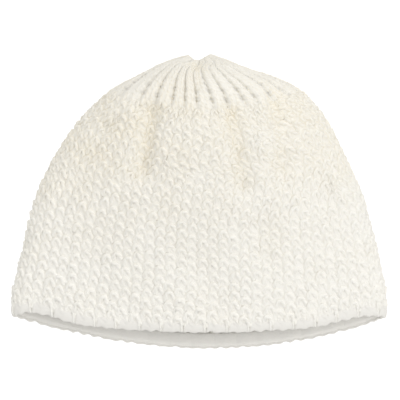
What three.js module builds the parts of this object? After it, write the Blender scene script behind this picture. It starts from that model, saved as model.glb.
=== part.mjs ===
// A hand-knitted beanie of chunky yarn, lying on its back on a flat surface.
// X runs across it, Y from the hem to the crown, and Z up. The origin is the middle of its box, on the
// surface. It is one knitted tube, worked in three ways: a plain hem band, a moss-stitch body, and a ribbed
// crown that is drawn together at the top. Each is a wall of its own, and together they are open where a
// head goes in. All sizes are in millimetres.
import * as THREE from "three";

const WALL = 5.5; // thickness of the fabric, two yarns
const SEAT_GAP = 0.3; // between one knitted section and the next
const LENGTH = 215; // along the fabric from the hem to the crown's centre

const HEM_END = 0.036; // share of the length where the hem band ends and moss stitch begins
const HEM_CELLS = 36; // smooth lengths of the band, between the strands that bind it
const HEM_ROLL = 0.5; // how far the middle of the band stands out
const HEM_PINCH = 0.9; // how far a binding strand draws it in

const RIB_START = 0.702; // share of the length where moss stitch ends and the ribs begin
const RIBS = 28;
const RIB_DEPTH = 2.6; // of the groove between two ribs
const RIB_SLIMMEST = 0.3; // its depth on the gathered ribs, as a share of their width
const FIRST_UNEVEN_RIB = 8.67; // evenly spread ribs from the middle of the back to the first uneven one
const UNEVEN_RIBS = [0.93, 1.31, 0.69, 1.04, 0.89, 0.95, 0.71, 0.73, 1.05, 0.92, 1.55]; // their widths

// The knitted rows, or courses, at stations from the hem (at 0) to the crown's centre (at 1). Each is a
// closed loop: the front layer is its upper half and the back layer its lower half, and they meet at two side
// folds. left and right are the folds' x, leftY and rightY their y from the hem's lowest point, frontY and
// backY the y of the middle of each layer, and sway how far that middle lies to the right. foldZ, top and
// bottom are heights above the surface, and rise is how far the round of a fold goes up from foldZ.
const PLAN_COLUMNS = ["at", "left", "right", "leftY", "rightY", "frontY", "backY", "sway"];
const COLUMNS = [...PLAN_COLUMNS, "foldZ", "rise", "top", "bottom"];
const COURSES = [
  [0, -127.5, 127.5, 22, 21, 11, 0, 0, 8.5, 8, 25, 0],
  [0.06, -126.7, 127, 37.4, 36.8, 23.8, 11.8, 0, 9.7, 8.4, 28.6, 0],
  [0.15, -121.5, 122.5, 60, 60, 43, 29.5, 0, 11.5, 9, 34, 0],
  [0.33, -111, 111.7, 101.5, 101.5, 80.5, 64.5, 0, 15, 10.5, 44.5, 0],
  [0.42, -102.5, 103.7, 121, 121, 100, 82.5, 0, 17, 11.5, 50.5, 0],
  [0.52, -91, 93.8, 141, 141, 121, 102, 0, 19, 12.5, 56.5, 0],
  [0.59, -80.5, 86.3, 155, 155, 136, 115.5, 0, 21, 13, 60.5, 0],
  [0.655, -71, 76, 165, 168, 149.5, 128.5, 0, 22.5, 13.5, 62, 0],
  [0.71, -61.5, 68, 173, 175, 160.5, 139.5, 0.5, 23.5, 14, 61.5, 0],
  [0.78, -47, 52, 181.5, 183, 173.5, 153.5, 3, 24, 14, 58, 0],
  [0.856, -31.5, 33, 189.5, 189.3, 184.5, 169, 4.5, 23.5, 13, 49.5, 1.5],
  [0.9, -22, 22.5, 194, 193.5, 190, 178.5, 4, 22.5, 12, 42, 5],
  [0.943, -13.5, 14, 197, 197, 193.5, 186.5, -1, 21.5, 10, 34, 10],
  [0.972, -7, 7.5, 198.5, 199, 195.5, 192, -1.5, 20.5, 7, 28, 14],
  [1, -1.5, -1.5, 192, 192, 192, 192, 0, 20, 0, 20, 20],
].map((row) => Object.fromEntries(COLUMNS.map((name, i) => [name, row[i]])));

const FOLD_WIDTH = 1.3; // how far the round of a fold reaches in from the side, as a share of its rise
const UNDER_WIDTH = 1.2; // likewise, its underside, as a share of the height of the fold
const SKEW = 0.12; // how far right of the middle a course is lowest
const TUCK_LEFT = 4.5; // how far the front of the hem is drawn up beside the left fold
const TUCK_RIGHT = 3; // likewise, beside the right fold
const TUCK_REACH = 0.45; // where that ends, as a share of the way from a fold to the middle
const TUCK_END = 0.25; // share of the length up to which the rows above it are drawn up too
const CAP_START = 0.74; // from here to the crown's centre a course turns into an ellipse

// Soft folds and hollows of the front layer, each a trough along a line from (x1, y1) to (x2, y2).
const DENTS = [
  { x1: -32, y1: 160, x2: -38, y2: 120, width: 7, depth: 6 }, // the deep fold below the crown, on the left
  { x1: 22, y1: 161, x2: 30, y2: 110, width: 6.5, depth: 4.5 }, // its fellow right of the middle
  { x1: 50, y1: 170, x2: 57, y2: 122, width: 7, depth: 3.8 },
  { x1: -1.5, y1: 192, x2: -0.5, y2: 176, width: 4, depth: 2.6 }, // the notch that runs down from the gather
  { x1: -62, y1: 150, x2: -82, y2: 118, width: 15, depth: 2.2 },
  { x1: -4, y1: 62, x2: 4, y2: 48, width: 17, depth: 2.2 },
  { x1: 40, y1: 82, x2: 46, y2: 70, width: 14, depth: 1.6 },
  { x1: -72, y1: 66, x2: -66, y2: 40, width: 16, depth: 1.8 },
];

const SAMPLES = 720; // points on a course, before they are spread evenly along it
const SLOPE_STEP = 0.0015; // share of the length between the two courses that a slope is taken from
const AROUND_TUBE = HEM_CELLS * 3; // corners around the hem band and the body
const AROUND_CROWN = RIBS * 5; // corners around the crown, five to a rib

const { lerp, clamp, smoothstep } = THREE.MathUtils;

// One column of COURSES at a share of the length, on a smooth curve that doesn't overshoot the table.
function column(name, at) {
  const last = COURSES.length - 1;
  let i = 0;
  while (i < last - 1 && at > COURSES[i + 1].at) i++;
  const rise = (k) => (COURSES[k + 1][name] - COURSES[k][name]) / (COURSES[k + 1].at - COURSES[k].at);
  const slope = (k) => {
    if (k === 0) return rise(0);
    if (k === last) return rise(last - 1);
    const [before, after] = [rise(k - 1), rise(k)];
    return before * after > 0 ? (2 * before * after) / (before + after) : 0;
  };
  const step = COURSES[i + 1].at - COURSES[i].at;
  const t = (at - COURSES[i].at) / step;
  const start = (1 + 2 * t) * (1 - t) ** 2 * COURSES[i][name] + t * (1 - t) ** 2 * step * slope(i);
  const end = t * t * (3 - 2 * t) * COURSES[i + 1][name] + t * t * (t - 1) * step * slope(i + 1);
  return start + end;
}

// A quarter of a rounded edge: 0 at the side, rising steeply to 1 where it meets the layer.
function roundEdge(share) {
  return Math.sqrt(1 - (1 - Math.min(share, 1)) ** 2);
}

// One course. Its sides are rounded folds, its front is domed between them, and its back lies flat. pointAt(u)
// goes evenly along it, from the middle of the back (0) by the right fold, the front and the left fold to 1.
function course(at) {
  const c = Object.fromEntries(COLUMNS.map((name) => [name, column(name, at)]));
  const cap = smoothstep(at, CAP_START, 1);
  const drawnUp = 1 - smoothstep(at, 0, TUCK_END);
  const half = (c.right - c.left) / 2;
  const rise = lerp(c.rise, c.top - c.foldZ, cap);
  const frontRound = Math.min(lerp(FOLD_WIDTH * c.rise, half, cap), half);
  const backRound = Math.min(lerp(UNDER_WIDTH * (c.foldZ - c.bottom), half, cap), half);
  const points = [];
  for (let i = 0; i <= SAMPLES; i++) {
    const turn = i / SAMPLES;
    const isFront = turn > 0.25 && turn < 0.75;
    const inwards = (2 * Math.abs(((turn * 2) % 1) - 0.5)) ** 2;
    const across = (turn < 0.5 ? 1 : -1) * (1 - inwards);
    const dome = 1 - across * across;
    const foldY = lerp(c.leftY, c.rightY, (across + 1) / 2);
    const middleY = isFront ? c.frontY : c.backY;
    const frontEdge = rise * roundEdge((inwards * half) / frontRound);
    const backEdge = (c.foldZ - c.bottom) * roundEdge((inwards * half) / backRound);
    const z = isFront ? c.foldZ + frontEdge + (c.top - c.foldZ - rise) * dome : c.foldZ - backEdge;
    const x = (c.left + c.right) / 2 + half * across + c.sway * dome;
    const fromFold = Math.min((1 - Math.abs(across)) / TUCK_REACH, 1);
    const most = lerp(TUCK_LEFT, TUCK_RIGHT, (across + 1) / 2);
    const tuck = most * Math.sin(Math.PI * fromFold ** 0.6) ** 2 * drawnUp;
    const y = foldY + (middleY - foldY) * dome * (1 + SKEW * across) + (isFront ? tuck : 0);
    points.push(new THREE.Vector3(x, y, z));
  }
  const lengths = [0];
  for (let i = 1; i <= SAMPLES; i++) lengths.push(lengths[i - 1] + points[i].distanceTo(points[i - 1]));
  const total = lengths[SAMPLES];
  const pointAt = (u) => {
    const target = (u - Math.floor(u)) * total;
    let [low, high] = [0, SAMPLES];
    while (high - low > 1) {
      const middle = (low + high) >> 1;
      if (lengths[middle] > target) high = middle;
      else low = middle;
    }
    const share = (target - lengths[low]) / Math.max(lengths[high] - lengths[low], 1e-9);
    return points[low].clone().lerp(points[high], share);
  };
  return { at, total, foldZ: c.foldZ, pointAt };
}

// Where the grooves between the ribs lie, as shares of the way around, from the middle of the back.
function groovePlaces() {
  const uneven = UNEVEN_RIBS.reduce((sum, width) => sum + width, 0);
  const evenWidth = (RIBS - uneven) / (RIBS - UNEVEN_RIBS.length);
  const before = Math.ceil(FIRST_UNEVEN_RIB / evenWidth);
  const places = [FIRST_UNEVEN_RIB - before * evenWidth];
  for (let i = 0; i < RIBS; i++) {
    const width = UNEVEN_RIBS[i - before] ?? evenWidth;
    places.push(places[i] + width);
  }
  return places.map((place) => place / RIBS);
}

const GROOVES = groovePlaces();

// The share of the way around at a count of ribs, which is whole at a groove.
function ribPlace(count) {
  const rib = Math.min(Math.floor(count), RIBS - 1);
  return lerp(GROOVES[rib], GROOVES[rib + 1], count - rib);
}

// How deep the soft folds are at a point of the front layer. They fade out towards the side folds.
function dentDepth(point, foldZ) {
  let depth = 0;
  for (const { x1, y1, x2, y2, width, depth: deepest } of DENTS) {
    const [alongX, alongY] = [x2 - x1, y2 - y1];
    const t = ((point.x - x1) * alongX + (point.y - y1) * alongY) / (alongX ** 2 + alongY ** 2);
    const share = clamp(t, 0, 1);
    const off = Math.hypot(point.x - x1 - share * alongX, point.y - y1 - share * alongY);
    depth += deepest * Math.exp(-((off / width) ** 2));
  }
  return depth * smoothstep(point.z - foldZ, 2, 12);
}

// How far the outside of the crown lies below the tops of its ribs, at a count of ribs.
function ribRelief(loop, count) {
  const deepest = Math.min(RIB_DEPTH, (RIB_SLIMMEST * loop.total) / RIBS);
  const fadeIn = smoothstep(loop.at, RIB_START, RIB_START + 0.03);
  return -deepest * fadeIn * Math.abs(Math.cos(Math.PI * count)) ** 3;
}

// How far the hem band stands out. Its cells are drawn in where a strand binds them.
function hemRelief(loop, u) {
  const roll = Math.sin((Math.PI * loop.at) / HEM_END);
  return roll * (HEM_ROLL - HEM_PINCH * Math.abs(Math.cos(Math.PI * u * HEM_CELLS)) ** 8);
}

// The outside of each section: its corners around, and where and how far out each one lies.
const plain = { corners: AROUND_TUBE, placeOf: (i) => i / AROUND_TUBE, reliefOf: () => 0 };
const hem = { ...plain, reliefOf: (loop, i) => hemRelief(loop, i / AROUND_TUBE) };
const ribbed = {
  corners: AROUND_CROWN,
  placeOf: (i) => ribPlace((i * RIBS) / AROUND_CROWN),
  reliefOf: (loop, i) => ribRelief(loop, (i * RIBS) / AROUND_CROWN),
};

// A closed ring of corners on the outside or the inside of a wall.
function ring(at, isInside, { corners, placeOf, reliefOf }) {
  const loop = course(at);
  const before = course(Math.max(at - SLOPE_STEP, 0));
  const after = course(Math.min(at + SLOPE_STEP, 1));
  const points = [];
  for (let i = 0; i < corners; i++) {
    const u = placeOf(i);
    const point = loop.pointAt(u);
    const around = loop.pointAt(u + 0.5 / corners).sub(loop.pointAt(u - 0.5 / corners));
    const outwards = after.pointAt(u).sub(before.pointAt(u)).cross(around).normalize();
    const isFlattened = point.z < 1e-6;
    const relief = isFlattened ? 0 : reliefOf(loop, i);
    const depth = (isInside ? WALL : -relief) + dentDepth(point, loop.foldZ);
    points.push(point.addScaledVector(outwards, -depth));
  }
  return points;
}

// A wall from its courses on the outside, from the hem upwards, and on the inside, back down. One that reaches
// the crown's centre has its outside and its inside closed there by a point each.
function wall(outside, inside, surface, reachesCentre) {
  const rings = [
    ...outside.map((at) => ring(at, false, surface)),
    ...inside.map((at) => ring(at, true, surface)),
  ];
  const positions = rings.flat().flatMap((point) => point.toArray());
  const index = [];
  const corner = (r, i) => r * surface.corners + (i % surface.corners);
  const joinRings = (a, b, isLowerEnd = false) => {
    for (let i = 0; i < surface.corners; i++) {
      const [a0, b0, a1, b1] = [corner(a, i), corner(b, i), corner(a, i + 1), corner(b, i + 1)];
      if (isLowerEnd) index.push(a0, b0, b1, a0, b1, a1);
      else index.push(a0, b0, a1, a1, b0, b1);
    }
  };
  const closeRing = (r, depth, facesOut) => {
    const middle = positions.length / 3;
    const { left, frontY, top } = COURSES[COURSES.length - 1];
    positions.push(left, frontY - depth, top);
    for (let i = 0; i < surface.corners; i++) {
      const side = [corner(r, i), corner(r, i + 1)];
      if (!facesOut) side.reverse();
      index.push(side[0], middle, side[1]);
    }
  };
  const lastOutside = outside.length - 1;
  for (let r = 0; r + 1 < rings.length; r++) {
    if (!(reachesCentre && r === lastOutside)) joinRings(r, r + 1);
  }
  joinRings(rings.length - 1, 0, true); // split as the wall below is, so that the two ends don't cross
  if (reachesCentre) {
    closeRing(lastOutside, 0, true);
    closeRing(lastOutside + 1, WALL, false);
  }
  const geometry = new THREE.BufferGeometry();
  geometry.setAttribute("position", new THREE.Float32BufferAttribute(positions, 3));
  geometry.setIndex(index);
  geometry.computeVertexNormals();
  return geometry;
}

// Shares from one place to another in even steps, both ends included.
function evenSteps(from, to, count) {
  return Array.from({ length: count + 1 }, (_, i) => lerp(from, to, i / count));
}

const gap = SEAT_GAP / LENGTH;

function hemBand() {
  const up = evenSteps(0, HEM_END - gap, 4);
  const down = evenSteps(HEM_END - gap, 0, 2);
  return wall(up, down, hem, false);
}

function mossBody() {
  const up = evenSteps(HEM_END, RIB_START - gap, 11);
  return wall(up, [...up].reverse(), plain, false);
}

function ribbedCrown() {
  const up = [RIB_START, 0.73, 0.765, 0.805, 0.845, 0.885, 0.915, 0.943, 0.965, 0.983];
  const down = [0.965, 0.93, 0.885, 0.83, 0.765, RIB_START];
  return wall(up, down, ribbed, true);
}

function section(name, geometry, color) {
  const yarn = new THREE.MeshStandardMaterial({ color, roughness: 0.95, metalness: 0 });
  const mesh = new THREE.Mesh(geometry, yarn);
  mesh.name = name;
  return mesh;
}

const beanie = new THREE.Group();
beanie.add(
  section("hem_band", hemBand(), 0xeeece4),
  section("moss_stitch_body", mossBody(), 0xf1eee3),
  section("ribbed_crown", ribbedCrown(), 0xefebde),
);

// The origin goes to the middle of the whole beanie's box, on the surface that it lies on.
const box = new THREE.Box3().setFromObject(beanie);
const middle = box.getCenter(new THREE.Vector3());
for (const mesh of beanie.children) mesh.geometry.translate(-middle.x, -middle.y, -box.min.z);

export default beanie;
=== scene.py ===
"""A chunky beanie, hand-knitted in cream yarn, lying on its back on a white table and seen from above.

The fabric is real yarn: each stitch is a loop of it, hooked through the loop below. The hem band is a
smooth bound edge, the body is moss stitch, and the crown is ribbed and drawn together. Sizes are in
millimetres unless a name or a docstring says metres, and they are turned to metres where a mesh is made.
"""

import logging
import math
from collections.abc import Sequence
from dataclasses import dataclass, field
from enum import Enum
from typing import NamedTuple

import bpy
import numpy as np
from bpy.types import Material, Mesh, Node, NodeSocket, NodeTree, Object
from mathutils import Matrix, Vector
from numpy import ndarray


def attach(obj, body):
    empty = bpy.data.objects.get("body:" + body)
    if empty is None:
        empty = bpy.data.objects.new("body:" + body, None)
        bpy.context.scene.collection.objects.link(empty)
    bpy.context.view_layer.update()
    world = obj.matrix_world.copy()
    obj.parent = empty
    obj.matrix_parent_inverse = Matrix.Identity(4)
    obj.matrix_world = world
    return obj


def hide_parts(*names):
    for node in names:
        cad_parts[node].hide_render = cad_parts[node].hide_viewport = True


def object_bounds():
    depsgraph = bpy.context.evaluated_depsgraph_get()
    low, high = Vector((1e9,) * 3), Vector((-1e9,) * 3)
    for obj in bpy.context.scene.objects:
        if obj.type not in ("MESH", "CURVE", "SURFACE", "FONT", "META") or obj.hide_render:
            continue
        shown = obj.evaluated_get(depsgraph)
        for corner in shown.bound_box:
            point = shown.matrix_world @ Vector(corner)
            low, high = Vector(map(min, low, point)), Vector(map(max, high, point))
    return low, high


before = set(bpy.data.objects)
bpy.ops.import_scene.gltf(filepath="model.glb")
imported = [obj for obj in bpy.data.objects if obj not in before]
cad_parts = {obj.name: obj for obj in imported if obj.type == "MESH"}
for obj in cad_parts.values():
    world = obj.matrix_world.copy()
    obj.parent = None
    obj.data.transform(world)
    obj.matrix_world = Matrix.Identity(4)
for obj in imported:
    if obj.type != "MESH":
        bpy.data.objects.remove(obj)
CAD_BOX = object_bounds()

log = logging.getLogger("beanie")

Numbers = ndarray | float
Place = tuple[float, float, float]

MM = 0.001
BODY = "root"
MATH = "ShaderNodeMath"

# The wall's thickness, and its length from the hem to the crown's centre.
WALL = 5.5
WAY_UP = 215.0

# The shares of that length at which the hem band ends and the ribs start.
HEM_END = 0.036
RIB_START = 0.702


class Stitch(Enum):
    """How a loop is drawn through the one below: towards the outside or towards the inside."""

    KNIT = 1
    PURL = -1


class Course(NamedTuple):
    """One knitted row of the form, at a share of the way from the hem to the crown's centre.

    left and right are the x of the side folds, left_y and right_y their y from the hem's lowest point,
    front_y and back_y the y of the middle of each layer, and sway how far that middle lies to the right.
    fold_z, top and bottom are heights above the table, and rise is how far the round of a fold goes up from
    fold_z.
    """

    at: float
    left: float
    right: float
    left_y: float
    right_y: float
    front_y: float
    back_y: float
    sway: float
    fold_z: float
    rise: float
    top: float
    bottom: float


COURSES = (
    Course(0.0, -127.5, 127.5, 22, 21, 11, 0, 0, 8.5, 8, 25, 0),
    Course(0.06, -126.7, 127, 37.4, 36.8, 23.8, 11.8, 0, 9.7, 8.4, 28.6, 0),
    Course(0.15, -121.5, 122.5, 60, 60, 43, 29.5, 0, 11.5, 9, 34, 0),
    Course(0.33, -111, 111.7, 101.5, 101.5, 80.5, 64.5, 0, 15, 10.5, 44.5, 0),
    Course(0.42, -102.5, 103.7, 121, 121, 100, 82.5, 0, 17, 11.5, 50.5, 0),
    Course(0.52, -91, 93.8, 141, 141, 121, 102, 0, 19, 12.5, 56.5, 0),
    Course(0.59, -80.5, 86.3, 155, 155, 136, 115.5, 0, 21, 13, 60.5, 0),
    Course(0.655, -71, 76, 165, 168, 149.5, 128.5, 0, 22.5, 13.5, 62, 0),
    Course(0.71, -61.5, 68, 173, 175, 160.5, 139.5, 0.5, 23.5, 14, 61.5, 0),
    Course(0.78, -47, 52, 181.5, 183, 173.5, 153.5, 3, 24, 14, 58, 0),
    Course(0.856, -31.5, 33, 189.5, 189.3, 184.5, 169, 4.5, 23.5, 13, 49.5, 1.5),
    Course(0.9, -22, 22.5, 194, 193.5, 190, 178.5, 4, 22.5, 12, 42, 5),
    Course(0.943, -13.5, 14, 197, 197, 193.5, 186.5, -1, 21.5, 10, 34, 10),
    Course(0.972, -7, 7.5, 198.5, 199, 195.5, 192, -1.5, 20.5, 7, 28, 14),
    Course(1.0, -1.5, -1.5, 192, 192, 192, 192, 0, 20, 0, 20, 20),
)


class Dent(NamedTuple):
    """A soft trough in the front layer, along a line in plan from (x1, y1) to (x2, y2)."""

    x1: float
    y1: float
    x2: float
    y2: float
    width: float
    depth: float


DENTS = (
    Dent(-32, 160, -38, 120, 7, 6),  # the deep fold below the crown, on the left
    Dent(22, 161, 30, 110, 6.5, 4.5),  # its fellow right of the middle
    Dent(50, 170, 57, 122, 7, 3.8),
    Dent(-1.5, 192, -0.5, 176, 4, 2.6),  # the notch that runs down from the gather
    Dent(-62, 150, -82, 118, 15, 2.2),
    Dent(-4, 62, 4, 48, 17, 2.2),
    Dent(40, 82, 46, 70, 14, 1.6),
    Dent(-72, 66, -66, 40, 16, 1.8),
)


def ease(value: Numbers, low: float, high: float) -> ndarray:
    """A smooth step.

    Args:
        value: what is tested.
        low: where the step starts.
        high: where it ends.

    Returns:
        0 up to low, 1 from high, and a smooth rise between them.
    """
    share = np.clip((np.asarray(value, float) - low) / (high - low), 0, 1)
    return share * share * (3 - 2 * share)


def mix(low: Numbers, high: Numbers, share: Numbers) -> ndarray:
    """The value at a share of the way from low to high."""
    return low + (high - low) * np.asarray(share, float)


def smooth_column(name: str, at: ndarray) -> ndarray:
    """One column of COURSES on a smooth curve that doesn't overshoot the table.

    Args:
        name: the column.
        at: shares of the way from the hem to the crown's centre.

    Returns:
        The column's value at each share.
    """
    x = np.array([course.at for course in COURSES])
    y = np.array([getattr(course, name) for course in COURSES], float)
    rise = np.diff(y) / np.diff(x)
    product = rise[:-1] * rise[1:]
    total = rise[:-1] + rise[1:]
    inner = np.where(product > 0, 2 * product / np.where(product > 0, total, 1), 0)
    slope = np.concatenate([rise[:1], inner, rise[-1:]])
    i = np.clip(np.searchsorted(x, at, side="right") - 1, 0, len(x) - 2)
    step = x[i + 1] - x[i]
    t = (at - x[i]) / step
    start = (1 + 2 * t) * (1 - t) ** 2 * y[i] + t * (1 - t) ** 2 * step * slope[i]
    end = t * t * (3 - 2 * t) * y[i + 1] + t * t * (t - 1) * step * slope[i + 1]
    return start + end


def round_edge(share: ndarray) -> ndarray:
    """A quarter of a rounded edge: 0 at the side, rising steeply to 1 where it meets the layer."""
    return np.sqrt(1 - (1 - np.minimum(share, 1)) ** 2)


@dataclass
class HatForm:
    """The plain outside of the wall, as a map from shares (u, v) to points.

    u goes around, from the middle of the back (0) by the right fold, the front (0.5) and the left fold to
    1, and v goes up from the hem (0) to the crown's centre (1).
    """

    rows: int = 320
    around: int = 960
    samples: int = 1440
    fold_width: float = 1.3
    under_width: float = 1.2
    skew: float = 0.12
    tuck_left: float = 4.5
    tuck_right: float = 3.0
    tuck_reach: float = 0.45
    tuck_shape: float = 0.6
    tuck_end: float = 0.25
    cap_start: float = 0.74
    dent_heights: tuple[float, float] = (2.0, 12.0)
    points: ndarray = field(init=False)
    normals: ndarray = field(init=False)
    lengths: ndarray = field(init=False)
    hollows: ndarray = field(init=False)

    def __post_init__(self) -> None:
        """Works out the grid of points and normals once."""
        v = np.linspace(0, 1, self.rows + 1)
        loops, self.lengths = self._loops(v)
        self.normals = self._normals_of(loops)
        self.hollows = self._dent_depth(loops, smooth_column("fold_z", v)[:, None])
        self.points = loops - self.normals * self.hollows[..., None] + self._shift_to_frame()

    def _loops(self, v: ndarray) -> tuple[ndarray, ndarray]:
        """The courses before the dents.

        Args:
            v: shares of the way up.

        Returns:
            The courses as closed loops of points spread evenly along them, and their lengths.
        """
        c = {name: smooth_column(name, v) for name in Course._fields}
        cap = ease(v, self.cap_start, 1)
        half = np.maximum((c["right"] - c["left"]) / 2, 1e-6)
        depth = c["fold_z"] - c["bottom"]
        rise = mix(c["rise"], c["top"] - c["fold_z"], cap)
        front_round = np.maximum(np.minimum(mix(self.fold_width * c["rise"], half, cap), half), 1e-6)
        back_round = np.maximum(np.minimum(mix(self.under_width * depth, half, cap), half), 1e-6)
        turn = np.arange(self.samples + 1) / self.samples
        is_front = (turn > 0.25) & (turn < 0.75)
        inwards = (2 * np.abs((turn * 2) % 1 - 0.5)) ** 2
        across = np.where(turn < 0.5, 1, -1) * (1 - inwards)
        dome = 1 - across**2
        to_right = (across + 1) / 2
        from_fold = np.clip((1 - np.abs(across)) / self.tuck_reach, 0, 1)
        tuck_wave = np.sin(math.pi * from_fold**self.tuck_shape) ** 2
        loops = np.empty((len(v), self.around + 1, 3))
        lengths = np.empty(len(v))
        even = np.arange(self.around + 1) / self.around
        for j in range(len(v)):
            fold_y = mix(c["left_y"][j], c["right_y"][j], to_right)
            middle_y = np.where(is_front, c["front_y"][j], c["back_y"][j])
            front_z = rise[j] * round_edge(inwards * half[j] / front_round[j])
            front_z = front_z + (c["top"][j] - c["fold_z"][j] - rise[j]) * dome
            back_z = -depth[j] * round_edge(inwards * half[j] / back_round[j])
            x = (c["left"][j] + c["right"][j]) / 2 + half[j] * across + c["sway"][j] * dome
            y = fold_y + (middle_y - fold_y) * dome * (1 + self.skew * across)
            tuck = mix(self.tuck_left, self.tuck_right, to_right) * (1 - ease(v[j], 0, self.tuck_end))
            y = y + np.where(is_front, tuck * tuck_wave, 0)
            z = c["fold_z"][j] + np.where(is_front, front_z, back_z)
            loop = np.stack([x, y, z], axis=1)
            steps = np.linalg.norm(np.diff(loop, axis=0), axis=1)
            along = np.concatenate([[0], np.cumsum(steps)])
            lengths[j] = along[-1]
            for axis in range(3):
                loops[j, :, axis] = np.interp(even * along[-1], along, loop[:, axis])
        return loops, lengths

    @staticmethod
    def _normals_of(points: ndarray) -> ndarray:
        """The way out of the wall.

        Args:
            points: a grid of points that closes on itself around.

        Returns:
            The unit normal at each point.
        """
        up = np.gradient(points, axis=0)
        ahead = np.roll(points[:, :-1], -1, axis=1)
        behind = np.roll(points[:, :-1], 1, axis=1)
        around = np.concatenate([ahead - behind, (ahead - behind)[:, :1]], axis=1)
        normals = np.cross(around, up)
        normals[-1] = normals[-2]
        lengths = np.linalg.norm(normals, axis=2, keepdims=True)
        return -normals / np.maximum(lengths, 1e-12)

    def _dent_depth(self, points: ndarray, fold_z: ndarray) -> ndarray:
        """How deep the soft folds are, which only the front layer has.

        Args:
            points: the grid of points before the dents.
            fold_z: the height of the side folds on each course.

        Returns:
            The depth at each point.
        """
        depth = np.zeros(points.shape[:2])
        for dent in DENTS:
            along = np.array([dent.x2 - dent.x1, dent.y2 - dent.y1])
            offset = points[..., :2] - np.array([dent.x1, dent.y1])
            share = np.clip(offset @ along / (along @ along), 0, 1)
            away = np.linalg.norm(offset - share[..., None] * along, axis=2)
            depth += dent.depth * np.exp(-((away / dent.width) ** 2))
        return depth * ease(points[..., 2] - fold_z, *self.dent_heights)

    @staticmethod
    def _shift_to_frame() -> ndarray:
        """The way from the table's own zero to the frame's.

        Returns:
            The shift, found from the model's box.
        """
        low = np.array(CAD_BOX[0]) / MM
        high = np.array(CAD_BOX[1]) / MM
        middle_y = (min(course.back_y for course in COURSES) + max(course.right_y for course in COURSES)) / 2
        return np.array([(low[0] + high[0]) / 2, (low[1] + high[1]) / 2 - middle_y, low[2]])

    def at(self, u: ndarray, v: ndarray, lift: Numbers) -> ndarray:
        """Points of the form.

        Args:
            u: shares of the way around.
            v: shares of the way up.
            lift: how far out of the form's surface each point lies; negative is into the wall.

        Returns:
            The points, one in each row of an array.
        """
        across = (u % 1) * self.around
        up = np.clip(v, 0, 1) * self.rows
        i = np.minimum(across.astype(int), self.around - 1)
        j = np.minimum(up.astype(int), self.rows - 1)
        a = (across - i)[..., None]
        b = (up - j)[..., None]

        def blend(grid: ndarray) -> ndarray:
            """The grid's value between its four nearest points."""
            low, high = (grid[row, i] * (1 - a) + grid[row, i + 1] * a for row in (j, j + 1))
            return low * (1 - b) + high * b

        normal = blend(self.normals)
        normal /= np.maximum(np.linalg.norm(normal, axis=-1, keepdims=True), 1e-9)
        return blend(self.points) + normal * np.asarray(lift, float)[..., None]

    def hollow(self, u: ndarray, v: ndarray) -> ndarray:
        """How deep the soft folds are at places of the form."""
        i = np.round((u % 1) * self.around).astype(int)
        return self.hollows[np.round(np.clip(v, 0, 1) * self.rows).astype(int), i]

    def girth(self, v: ndarray) -> ndarray:
        """The length of the course at each share of the way up."""
        return np.interp(v, np.linspace(0, 1, self.rows + 1), self.lengths)


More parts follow.
